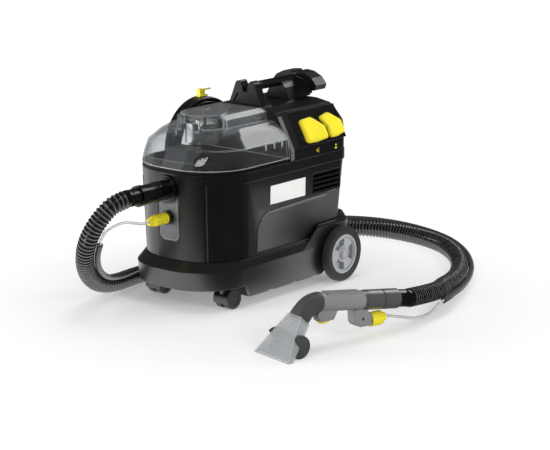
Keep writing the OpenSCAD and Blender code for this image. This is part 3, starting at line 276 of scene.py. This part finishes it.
bend_middle, bend_radius, cuff_end = (108, 50), 46, 205
handle_start = (bend_middle[0] + bend_radius * math.sin(handle_drop),
                bend_middle[1] + bend_radius * math.cos(handle_drop))
hose_at_tool = tool_at(0, handle_start[0] + cuff_end * math.cos(handle_drop),
                       handle_start[1] - cuff_end * math.sin(handle_drop))
tool_back = (hose_at_tool - tool_at(0, *handle_start)).normalized()
hose_route = [at(*p) for p in (
    (0, -335, 262), (0, -359, 262), (0, -371, 262), (-14, -402, 247), (-38, -422, 208), (-62, -424, 164),
    (-90, -402, 118), (-120, -360, 76), (-150, -300, 42), (-172, -230, 24), (-184, -150, 21),
    (-190, -40, 21), (-192, 80, 21), (-190, 200, 21), (-182, 310, 21), (-160, 410, 21), (-118, 490, 21),
    (-60, 536, 21), (10, 556, 21), (90, 552, 21), (170, 526, 21), (245, 474, 21), (310, 404, 21),
    (362, 324, 24), (406, 238, 32), (440, 156, 42), (468, 84, 50))]
hose_route += [hose_at_tool + d * tool_back for d in (0.040, 0.024, 0)]
hose_line = smooth_line(hose_route, 24)
hose_length = length_of(hose_line)

# A rib's height over its seven rings. Four ribs at each end are pressed flat inside the cuffs.
rib_profile = (0.0, 0.12, 0.75, 1.0, 1.0, 0.75, 0.12)
hose_rings = len(rib_profile) * hose_ribs + 1
plain_rings, plain_height = 4 * len(rib_profile), 0.45
rib_heights = [rib_profile[i % len(rib_profile)] for i in range(hose_rings)]
rib_heights[:plain_rings] = rib_heights[-plain_rings:] = [plain_height] * plain_rings
hose_radii = [hose_trough + (hose_outer - hose_trough) * height for height in rib_heights]
hose_black, shader, place = new_finish("glossy_hose_black", Specular_IOR_Level=0.8, IOR=1.49)
crown = place.node("Attribute", {"attribute_name": "crown"}, {}, out="Fac")
rib_noise = place.node("TexNoise", {}, {"Vector": place, "Scale": 70, "Detail": 4})
# The ribs' tops are painted pale grey in noisy patches: a painted highlight along each rib.
feed(shader, Base_Color=(crown * rib_noise.clamped(0.2, 0.6)).colours(rgb(7, 7, 8), rgb(92, 92, 94)),
     Roughness=rib_noise * 0.15 + 0.14)
hose = tube("suction_hose_ribbed", even_line(hose_line, hose_rings), hose_radii, hose_sides, hose_black,
            bore=hose_bore)
# This attribute marks the ribs' tops on the outer wall, which are painted paler as a painted highlight
# along each rib.
outer_crowns = [float(height == 1) for height in rib_heights for side in range(hose_sides)]
crowns = hose.data.attributes.new("crown", "FLOAT", "POINT")
crowns.data.foreach_set("value", outer_crowns + [0.0] * (hose_sides * hose_rings))
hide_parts("suction_hose")


# ---- Spray line ----
# A clear 6 mm tube of soft vinyl takes the cleaning liquid from the yellow coupling to the nut on
# the hand tool. Most of it runs in a smooth grey split sleeve that is clipped along the hose.
sleeve_radius, spray_radius, hose_clearance = 0.0065, 0.003, 0.0003
hose_parts, first_clip, last_clip = 120, 9, 111
along = even_line(hose_line, hose_parts + 1)
along_sides = sides_along(along, (0, 0, 1))
sleeve_route = []
for i in range(first_clip, last_clip + 1, 2):
    ahead, side = along_sides[i]
    turn = math.radians(200 - 250 * i / hose_parts)
    away = math.cos(turn) * side + math.sin(turn) * ahead.cross(side)
    sleeve_route.append(along[i] + (hose_outer + sleeve_radius + hose_clearance) * away)
sleeve_line = smooth_line(sleeve_route, 6)
into_sleeve = (sleeve_route[0] - sleeve_route[1]).normalized()
out_of_sleeve = (sleeve_route[-1] - sleeve_route[-2]).normalized()
machine_end = [at(*p) for p in ((0, -285.5, 200), (0, -312, 200), (0, -331, 203), (-1, -369, 212),
                                (-7, -393, 209), (-19, -408, 198))]
machine_end += [sleeve_route[0] + d * into_sleeve for d in (0.020, 0.0003)]
tool_end = [tool_at(0, 283, 36), tool_at(0, 299, 35)]
tool_end += [at(*p) for p in ((480, -56, 27), (488, -14, 17), (493, 22, 16), (495, 50, 25))]
tool_end += [sleeve_route[-1] + d * out_of_sleeve for d in (0.020, 0.0003)]
spray_line = smooth_line(machine_end, 12) + sleeve_line + smooth_line(tool_end, 12)[::-1]
spray_line = even_line(spray_line, 620)

spray_clear, shader, place = new_finish("clear_soft_vinyl", Transmission_Weight=0.55, IOR=1.5,
                                        Subsurface_Weight=0.2, Subsurface_Scale=0.004)
milk = place.node("TexNoise", {}, {"Vector": place, "Scale": 60, "Detail": 3})
feed(shader, Base_Color=milk.colours(rgb(222, 224, 226), rgb(247, 248, 248)),
     Roughness=milk * 0.15 + 0.12)
spray = tube("spray_line", spray_line, spray_radius, 14, spray_clear)
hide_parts("spray_tube_machine", "spray_tube_tool")

sleeve_grey = plastic("ribbed_sleeve_grey", rgb(66, 67, 69), 0.38, edge=0.8)
# Every ninth ring of the sleeve is drawn in a little, as a fine crease.
sleeve_rings, crease, spray_clearance = 700, 0.965, 0.0006
sleeve_radii = [sleeve_radius * (1.0 if i % 9 else crease) for i in range(sleeve_rings)]
sleeve = tube("split_sleeve", even_line(sleeve_line, sleeve_rings), sleeve_radii, 18, sleeve_grey,
              bore=spray_radius + spray_clearance)
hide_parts("hose_sleeve")
length_of(spray_line)


# ---- Power cord ----
# Nearly eight metres of 8 mm black rubber mains cord: out of its gland at the back of the housing,
# three turns to a layer and four layers deep on the hook at the left side, then down to its plug.
# Its sizes are in millimetres, as its points are.
cord_radius, coil_in, layer_turns, coil_turns = 4, 84, 3, 12
coil_pitch, last_layer = 2 * cord_radius + 0.7, coil_turns // layer_turns - 1
coil_x, coil_y, coil_z = -148, 51, 293
points_a_turn = 48


def coil_point(t):
    """Where the cord is after t turns, from the bottom of the coil's outermost turn."""
    layer, share = divmod(t / layer_turns, 1)
    radius = coil_in + coil_pitch * layer_turns * (share if layer % 2 else 1 - share)
    reversal = math.floor(t / layer_turns + 0.5)
    since = t - reversal * layer_turns
    if 1 <= reversal <= last_layer:
        climb = reversal - 0.5 + max(-0.5, min(0.5, 2 * since))
    else:
        climb = layer
    turn = math.radians(-90 - 360 * t)
    return at(coil_x - coil_pitch * min(last_layer, max(0, climb)), coil_y + radius * math.cos(turn),
              coil_z + radius * math.sin(turn))


coil_line = [coil_point(i / points_a_turn) for i in range(points_a_turn * coil_turns + 1)]
lead_route = [at(*p) for p in ((-150, 196, 330), (-169, 195, 324), (-186, 191, 312), (-197, 182, 290),
                               (-196, 169, 257), (-183, 149, 222), (-165, 123, 198), (-153, 96, 187))]
lead_route += [coil_line[0] + Vector((0, d, 0)) for d in (0.020, 0.0003)]
tail_route = [coil_line[-1] - Vector((0, d, 0)) for d in (0.0003, 0.014)]
tail_route += [at(*p) for p in ((-175, 20, 178), (-177, 7, 167), (-178, -1, 151), (-178, -2, 130),
                                (-178, -2, 120))]
cord_line = smooth_line(lead_route, 14) + coil_line + smooth_line(tail_route, 14)
cord_length = length_of(cord_line)
cord_line = even_line(cord_line, 1300)

rubber, shader, place = new_finish("cord_rubber_black", Specular_IOR_Level=0.7, IOR=1.5)
talc = place.node("TexNoise", {}, {"Vector": place, "Scale": 40, "Detail": 5})
skin = place.node("TexNoise", {}, {"Vector": place, "Scale": 1800, "Detail": 2})
feed(shader, Base_Color=talc.clamped(0.4, 0.75).colours(rgb(13, 13, 14), rgb(27, 27, 28)),
     Roughness=talc * 0.2 + 0.16,
     Normal=place.node("Bump", {}, {"Height": skin, "Strength": 0.25, "Distance": 0.0001}))
cord = tube("power_cord", cord_line, cord_radius / 1000, 14, rubber, first=(1, 0, 0))
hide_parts("power_cord_lead", "power_cord_coil", "power_cord_tail")


# ---- Floor and light ----
# White paper that fades into a white background, under six softboxes. The machine mirrors bright
# floor to its left and to its right, and a dark room between and above them, so that its front and
# its flank carry a grey sheen and the corner between them stays black.
floor = bpy.data.objects.new("floor", bpy.data.meshes.new("floor"))
floor.data.from_pydata([(-9, -9, 0), (9, -9, 0), (9, 9, 0), (-9, 9, 0)], [], [(0, 1, 2, 3)])
bpy.context.scene.collection.objects.link(floor)
photographer = (camera_place - camera_target) * Vector((1, 1, 0))
photographer.normalize()
# The way in which the long lens looks on, once the machine's right flank has mirrored it.
beyond_flank = (0.64, 0.77, 0)


def ray_kinds(tree):
    """Whether the ray comes from the camera or through glass, and whether it is a reflection."""
    path = tree.nodes.new("ShaderNodeLightPath")
    seen, clear, glossy = (Socket(tree, path.outputs[name]) for name in (
        "Is Camera Ray", "Is Transmission Ray", "Is Glossy Ray"))
    return seen.larger(clear), glossy


paper = bpy.data.materials.new("white_paper")
paper.use_nodes = True
paper.node_tree.nodes.remove(paper.node_tree.nodes["Principled BSDF"])
seen, glossy = ray_kinds(paper.node_tree)
spot = seen.node("NewGeometry", out="Position")
reach = spot.node("VectorMath", {"operation": "LENGTH"}, {0: spot}, out="Value")
whiter = reach.clamped(0.3, 0.75) * 0.75 + 0.25
lit = seen.node("BsdfDiffuse", {}, {"Color": (0.9, 0.9, 0.9, 1)})
glow = seen.node("Emission", {}, {"Color": (1, 1, 1, 1), "Strength": 1.04})
shade = seen.node("Emission", {}, {"Color": (0, 0, 0, 1), "Strength": 0.0})
sheen = seen.node("Emission", {}, {"Color": (1, 1, 1, 1), "Strength": 1.5})
sheet = seen.node("MixShader", {}, {0: seen * whiter, 1: lit, 2: glow})
# In a reflection the floor is dark near the photographer, far behind and far past the flank.
towards = spot.dot(tuple(photographer))
right_side = spot.dot((1, 0, 0)).clamped(0.0, 0.06)
dark_right = towards.clamped(-0.17, -0.05).larger(spot.dot(beyond_flank).clamped(0.64, 0.84))
dark_front = towards.clamped(0.25, 0.7).larger((towards * -1).clamped(0.9, 1.6))
unlit = (dark_front * (1 - right_side) + dark_right * right_side) * 0.95
mirrored_floor = seen.node("MixShader", {}, {0: unlit, 1: sheen, 2: shade})
mixed = seen.node("MixShader", {}, {0: glossy, 1: sheet, 2: mirrored_floor})
paper.node_tree.links.new(mixed.output, paper.node_tree.nodes["Material Output"].inputs["Surface"])
floor.data.materials.append(paper)

world = bpy.data.worlds.new("studio")
world.use_nodes = True
bpy.context.scene.world = world
sky_seen, sky_glossy = ray_kinds(world.node_tree)
sky_way = Socket(world.node_tree, world.node_tree.nodes.new("ShaderNodeTexCoord").outputs["Generated"])
# The room, too, is bright in a reflection only low down, to the left and to the near right.
sky_up = sky_way.node("SeparateXYZ", {}, {0: sky_way}, out="Z").clamped(0.08, 0.4)
sky_towards = sky_way.dot(tuple(photographer))
sky_front = sky_towards.clamped(0.1, 0.45).larger((sky_towards * -1).clamped(0.3, 0.7))
sky_dark = sky_front.larger(sky_way.dot(beyond_flank).clamped(0.3, 0.7)).larger(sky_up) * 0.93
background = world.node_tree.nodes["Background"]
background.inputs["Color"].default_value = (1, 1, 1, 1)
ambient = 0.34
glossy_sky = sky_glossy * (1 - sky_dark - ambient)
world.node_tree.links.new((sky_seen * (1 - ambient) + glossy_sky + ambient).output,
                          background.inputs["Strength"])

for lamp_name, lamp_place, aim, width, height, power, mirrored in (
        ("overhead_softbox", (0.1, 0.2, 2.7), (0, 0, 0.2), 1.2, 1.0, 14, False),
        ("hose_softbox", (0.5, -2.7, 2.0), (0.1, 0, 0.1), 1.1, 0.5, 16, True),
        ("front_left_softbox", (-1.5, -2.0, 0.42), (-0.15, 0, 0.1), 1.5, 0.85, 52, False),
        ("right_rear_softbox", (2.3, 2.2, 0.45), (0, 0, 0.15), 1.0, 0.9, 40, False),
        ("rear_top_softbox", (0.3, 2.3, 2.1), (-0.1, 0, 0.35), 1.5, 0.9, 16, True),
        ("side_fill", (2.8, -0.6, 1.6), (0, 0, 0.3), 0.8, 0.8, 22, False)):
    lamp_data = bpy.data.lights.new(lamp_name, "AREA")
    lamp_data.shape, lamp_data.energy = "RECTANGLE", power
    lamp_data.size, lamp_data.size_y = width, height
    lamp = bpy.data.objects.new(lamp_name, lamp_data)
    lamp.location = lamp_place
    lamp.rotation_euler = (Vector(aim) - Vector(lamp_place)).to_track_quat("-Z", "Y").to_euler()
    lamp.visible_glossy = mirrored
    bpy.context.scene.collection.objects.link(lamp)


# ---- Chassis ----
# One thick moulding of charcoal polypropylene, satin and finely sparked. It has a fender over each
# rear wheel and stands on the wheels and casters; a flat black plate closes it from below.
def body_of(node):
    return frame["nodes"][node]["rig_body"]


def paint(material, *nodes):
    """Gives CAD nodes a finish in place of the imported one."""
    for node in nodes:
        slots = frame["nodes"][node].data.materials
        for k in range(len(slots)):
            slots[k] = material


def remould(node, material):
    """The node's own form with its round stretches smooth and its corners crisp."""
    weld, flat_within, corner = 0.00002, math.radians(0.6), math.radians(14)
    mesh = frame["nodes"][node].data.copy()
    work = bmesh.new()
    work.from_mesh(mesh)
    bmesh.ops.remove_doubles(work, verts=work.verts, dist=weld)
    bmesh.ops.dissolve_limit(work, angle_limit=flat_within, verts=work.verts, edges=work.edges)
    work.to_mesh(mesh)
    work.free()
    mesh.materials.clear()
    mesh.materials.append(material)
    mesh.polygons.foreach_set("material_index", [0] * len(mesh.polygons))
    mesh.polygons.foreach_set("use_smooth", [True] * len(mesh.polygons))
    mesh.set_sharp_from_angle(angle=corner)
    piece = bpy.data.objects.new(node + "_moulded", mesh)
    bpy.context.scene.collection.objects.link(piece)
    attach(piece, body_of(node))
    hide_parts(node)
    return piece


charcoal = plastic("charcoal_polypropylene", rgb(21, 21, 22), 0.34, grain=0.7, edge=2.0, level=1.0)
matt_black = plastic("matt_black_plastic", rgb(17, 17, 18), 0.55, grain=0.8, edge=1.2, level=0.15)
remould("chassis", charcoal)
paint(matt_black, "bottom_plate")


# ---- Wheels and casters ----
# Light-grey moulded hubs with soft black tyres turn on a plain steel axle. In front, two
# twin-wheel casters swivel on steel stems under glossy black hoods.
hub_grey = plastic("light_grey_hub", rgb(166, 168, 171), 0.38, grain=0.4, edge=1.2, edge_wear_and_highlight=0.1)
tyre_black = plastic("tyre_rubber_black", rgb(43, 43, 44), 0.62, grain=1.0, level=0.4, edge_wear_and_highlight=0.5,
                     grain_size=1.1)
gloss_black = plastic("gloss_black_plastic", rgb(10, 10, 11), 0.18, grain=0.12, edge=1.2, level=0.7,
                      edge_wear_and_highlight=0.2)
steel, shader, place = new_finish("turned_steel", Metallic=1.0)
turning = place.node("TexNoise", {}, {"Vector": place, "Scale": 220, "Detail": 3})
feed(shader, Base_Color=turning.colours(rgb(150, 152, 155), rgb(205, 206, 208)),
     Roughness=turning * 0.2 + 0.22)
paint(hub_grey, "wheel_hub_right", "wheel_hub_left")
paint(tyre_black, "wheel_tyre_right", "wheel_tyre_left", "caster_wheels_right", "caster_wheels_left")
paint(gloss_black, "caster_hood_right", "caster_hood_left")
paint(steel, "rear_axle", "caster_axle_right", "caster_axle_left")


def laid_on(node, points, way, lift):
    """Points of the CAD node's surface, met by looking against a direction, raised by lift metres."""
    mesh, found = frame["nodes"][node].data, []
    skin = BVHTree.FromPolygons([v.co for v in mesh.vertices], [p.vertices[:] for p in mesh.polygons])
    for point in points:
        hit, normal = skin.ray_cast(point + Vector(way), -Vector(way))[:2]
        found.append(hit + lift * normal if hit is not None else point)
    return found


axle_middle, cap_radius, cap_bead = at(0, 176, 63), 0.0095, 0.0012
for side, way in (("right", (1, 0, 0)), ("left", (-1, 0, 0))):
    ring = [axle_middle + cap_radius * Vector((0, math.cos(t), math.sin(t)))
            for t in np.linspace(0, math.tau, 33)]
    cap_ring = tube("hub_cap_ring_" + side, laid_on("wheel_hub_" + side, ring, way, 0.0002), cap_bead, 8,
                    hub_grey, body_of("wheel_hub_" + side), first=way)


# ---- Body shell ----
# Deep-drawn tub moulded in satin black polypropylene, with an indented front panel and flank, a
# bare plate on the right flank and slotted exhaust grilles.
flank_x = 160
satin_black = plastic("satin_black_polypropylene", rgb(13, 13, 14), 0.3, grain=0.45, edge=2.0, level=0.57)
panel_grey = plastic("front_panel_grey", rgb(92, 94, 96), 0.3, grain=0.2, edge=1.0)
plate_white = plastic("bare_white_plate", rgb(238, 238, 236), 0.25, grain=0.1, edge=0.8, edge_wear_and_highlight=0.05)
remould("body_shell", satin_black)
paint(panel_grey, "front_panel")
paint(plate_white, "label_plate")
paint(matt_black, "vent_grille_right", "vent_grille_left")


def strip(name, node, inner, outer, way, material):
    """A thin moulded band laid on a node between two rows of points, sunk in by a fifth of its depth."""
    proud, sunk = 0.0008, -0.0002
    top = laid_on(node, inner + outer[::-1], way, proud)
    low = laid_on(node, inner + outer[::-1], way, sunk)
    n, m = len(inner), 2 * len(inner)
    faces = []
    for i in range(n - 1):
        a, b, c, d = i, i + 1, m - 2 - i, m - 1 - i
        faces += [(a, b, c, d), (m + d, m + c, m + b, m + a)]
    faces += [(i, m + i, m + (i + 1) % m, (i + 1) % m) for i in range(m)]
    return mesh_piece(name, top + low, faces, material, body_of(node), smooth=False)


# A pale grey bead round the front panel's lower edge and sides: a painted highlight where the panel's rim
# catches the light.
panel_edge_highlight = plastic("panel_edge_painted_highlight", rgb(150, 152, 154), 0.3, grain=0.1, edge=0.4)
front_y, lip_bead = -240, 0.0007
lip_route = smooth_line([at(x, front_y, z) for x, z in (
    (-25, 185), (-25, 172), (-25, 160), (-18, 152), (0, 151), (18, 152), (25, 160), (25, 180),
    (25, 244))], 8)
panel_lip = tube("front_panel_lip", laid_on("front_panel", lip_route, (0, -1, 0), 0.0001), lip_bead, 8,
                 panel_edge_highlight, first=(0, -1, 0))
# A grey strip along the front and top edges of each flank's sunk panel: a painted sheen on the chamfer.
flank_sheen_grey = plastic("flank_bevel_grey", rgb(44, 44, 46), 0.3, grain=0.3, edge=0.8, level=0.8)
for side in (1, -1):
    rows = [[at(side * flank_x, y, z) for y, z in row] for row in (
        ((-93.5, 120), (-93.5, 168), (-81.5, 185.5), (-62, 194.5), (50, 198), (140, 200.7), (205, 202.7)),
        ((-99.5, 120), (-99.5, 170), (-85.5, 190.5), (-64, 201.5), (50, 205), (140, 207.7), (205, 209.7)))]
    bevel = strip("flank_bevel_" + ("right" if side > 0 else "left"), "body_shell", rows[0], rows[1],
                  (side, 0, 0), flank_sheen_grey)


# ---- Tanks and clear lid ----
# The dirty-water tank lifts out under a domed lid of clear polycarbonate, with a turret over the
# bright float cup. A grey duct brings the water in from the hose port.
tank_grey = plastic("frosted_tank_grey", rgb(150, 154, 157), 0.45, grain=1.0, edge=1.2, grain_size=2.2)
duct_grey = plastic("duct_grey", rgb(70, 71, 73), 0.34, grain=0.3, edge=1.5)
paint(tank_grey, "fresh_water_tank")
paint(matt_black, "dirty_water_tank")
paint(duct_grey, "intake_duct", "lid_release")
seal_rubber = plastic("soft_seal_rubber", rgb(20, 20, 20), 0.5, grain=0.3, edge=0.6)
paint(seal_rubber, "rim_seal")


def clear_moulding(name, haze, edge, low, high):
    """Thin clear plastic: see-through where it is faced, milky at a glance, and painted white along its
    edges as a painted highlight.

    haze is how milky it is all over, edge the radius of the painted white edges in metres, and low
    and high the two greys of its clouds.
    """
    material, milky, place = new_finish(name, Specular_IOR_Level=0.6, IOR=1.49)
    tree = material.node_tree
    rounded = place.node("Bevel", {"samples": 4}, {"Radius": edge})
    flat = place.node("NewGeometry", out="Normal")
    rim = 1 - rounded.dot(flat)
    glance = place.node("LayerWeight", {}, {"Blend": 0.5}, out="Facing")
    cloud = place.node("TexNoise", {}, {"Vector": place, "Scale": 22, "Detail": 5})
    feed(milky, Base_Color=cloud.colours(low, high), Roughness=cloud * 0.1 + 0.06)
    mirror = place.node("BsdfPrincipled", {}, {
        "Base Color": (1, 1, 1, 1), "Metallic": 1.0, "Roughness": 0.04})
    clear = place.node("MixShader", {}, {
        0: glance ** 2 * 0.9, 1: place.node("BsdfTransparent", {}, {"Color": (0.94, 0.95, 0.955, 1)}),
        2: place.node("BsdfTransparent", {}, {"Color": (0.5, 0.52, 0.53, 1)})})
    # Along the edges the plastic is painted white: a painted highlight.
    milk = (glance ** 4 * 0.35 + rim * 12.0 + cloud * 0.03 + haze).clamped(0, 1)
    body = place.node("MixShader", {}, {0: milk, 1: clear, 2: Socket(tree, milky.outputs[0])})
    gloss = glance ** 5 * 0.5 + 0.045
    whole = place.node("MixShader", {}, {0: gloss, 1: body, 2: mirror})
    tree.links.new(whole.output, tree.nodes["Material Output"].inputs["Surface"])
    return material


clear_lid = clear_moulding("clear_polycarbonate", 0.0, 0.0016, rgb(214, 218, 221), rgb(240, 242, 243))
remould("tank_lid", clear_lid)
polished_metal, shader, place = new_finish("polished_metal", Metallic=1.0)
wipe = place.node("TexNoise", {}, {"Vector": place, "Scale": 90, "Detail": 4})
feed(shader, Base_Color=wipe.colours(rgb(214, 215, 217), rgb(240, 240, 241)),
     Roughness=wipe * 0.12 + 0.08)
paint(polished_metal, "float_cage")
white_plastic = plastic("white_plastic", rgb(228, 228, 226), 0.35, grain=0.3, edge=1.0, edge_wear_and_highlight=0.05)
paint(white_plastic, "float_ball")


# ---- Motor housing and pedals ----
# Satin black housing over the vacuum motor. Its right side slopes, with a black panel and the two
# rounded yellow pedals that switch the spray and the suction.
remould("motor_housing", satin_black)
remould("control_panel", gloss_black)
yellow = plastic("switch_yellow", rgb(246, 228, 48), 0.3, grain=0.2, edge=2.0, edge_wear_and_highlight=0.05)
paint(yellow, "spray_pedal", "suction_pedal")
# A textured grey strip by the lid, behind which the clean water shows.
window_grey = plastic("water_window_grey", rgb(96, 98, 100), 0.4, grain=1.0, edge=0.6, grain_size=2.5)
window_heights = np.linspace(300, 392, 24)
for side in (1, -1):
    window = strip("water_window_" + ("right" if side > 0 else "left"), "motor_housing",
                   [at(side * flank_x, 10, z) for z in window_heights],
                   [at(side * flank_x, 22, z) for z in window_heights], (side, 0, 0), window_grey)
# Generic signs below the pedals: a spray fan for the spray, an arrow over a nozzle for the suction.
spray_sign = (((-5, 2), (-2, 2), (-2, 5), (-5, 5)), ((0, 3), (5, 3), (5, 4.2), (0, 4.2)),
              ((-0.6, 5.4), (4.4, 8), (4.0, 9), (-1, 6.4)),
              ((-1, 0.8), (4.0, -1.8), (4.4, -0.8), (-0.6, 1.8)))
suction_sign = (((-5, -2), (5, -2), (3, 1), (-3, 1)), ((-0.9, 2), (0.9, 2), (0.9, 6), (-0.9, 6)),
                ((-3, 5.6), (3, 5.6), (0, 9)))
sign_height = 306
for sign, y, shapes in (("spray", 104, spray_sign), ("suction", 168, suction_sign)):
    points, faces = [], []
    for shape in shapes:
        faces.append(tuple(range(len(points), len(points) + len(shape))))
        outline = [at(flank_x, y + u, sign_height + v) for u, v in shape]
        points += laid_on("motor_housing", outline, (1, 0, 0), 0.0003)
    mesh_piece(sign + "_sign", points, faces, yellow, "machine", smooth=False)


# ---- Vacuum motor and spray pump ----
# Inside the housing stands a motor in a cast aluminium can, over its fan. Low in the body sits the
# small plastic pump that sends the clean water to the hand tool.
cast, shader, place = new_finish("cast_aluminium", Metallic=1.0)
sand = place.node("TexNoise", {}, {"Vector": place, "Scale": 500, "Detail": 3})
feed(shader, Base_Color=sand.colours(rgb(120, 121, 123), rgb(165, 166, 168)),
     Roughness=sand * 0.2 + 0.4)
paint(cast, "suction_motor", "fan_rotor")
paint(duct_grey, "spray_pump")


# ---- Carrying handle ----
# A round grip between two notched saddles, on which the hose or the hand tool is laid. It is one
# satin black moulding, fixed to the top of the motor housing.
remould("carry_handle", satin_black)


# ---- Ports, hook and cuffs ----
# Glossy black port, spray socket and cuff in front, with the yellow coupling plugged in, and a
# black cuff at the hand tool, painted mid grey as a painted sheen. A satin black hook on the left
# side carries the wound cord, between its rubber gland and its plug, with a yellow clip.
paint(gloss_black, "suction_port", "spray_socket", "machine_cuff")
# The tool's cuff is black plastic; its mid-grey colour is a painted sheen.
cuff_sheen_grey = plastic("cuff_black_painted_sheen", rgb(80, 80, 82), 0.28, grain=0.3, edge=1.2, level=1.0, edge_wear_and_highlight=0.25)
paint(cuff_sheen_grey, "tool_cuff")
paint(satin_black, "cord_hook")
paint(rubber, "power_plug")
paint(seal_rubber, "cord_gland")
paint(yellow, "spray_coupling", "cord_clip")


# ---- Hand tool ----
# Upholstery nozzle: a clear fan with a dark back and hood, a dark bend with its collar, and a grey
# handle tube with the yellow trigger, the valve block and its nut.
tool_grey = plastic("tool_mid_grey", rgb(132, 133, 135), 0.42, grain=0.8, edge=1.5, edge_wear_and_highlight=0.15)
tool_dark = plastic("tool_dark_grey", rgb(70, 72, 74), 0.42, grain=0.8, edge=1.5, edge_wear_and_highlight=0.2)
paint(tool_grey, "handle_shell", "valve_block")
paint(tool_dark, "bend_cover", "nozzle_body")
paint(yellow, "spray_jet", "spray_trigger", "coupling_nut")
paint(steel, "tool_screw")
clear_nozzle = clear_moulding("milky_clear_nozzle", 0.38, 0.001, rgb(176, 178, 180), rgb(206, 208, 209))
remould("nozzle_window", clear_nozzle)
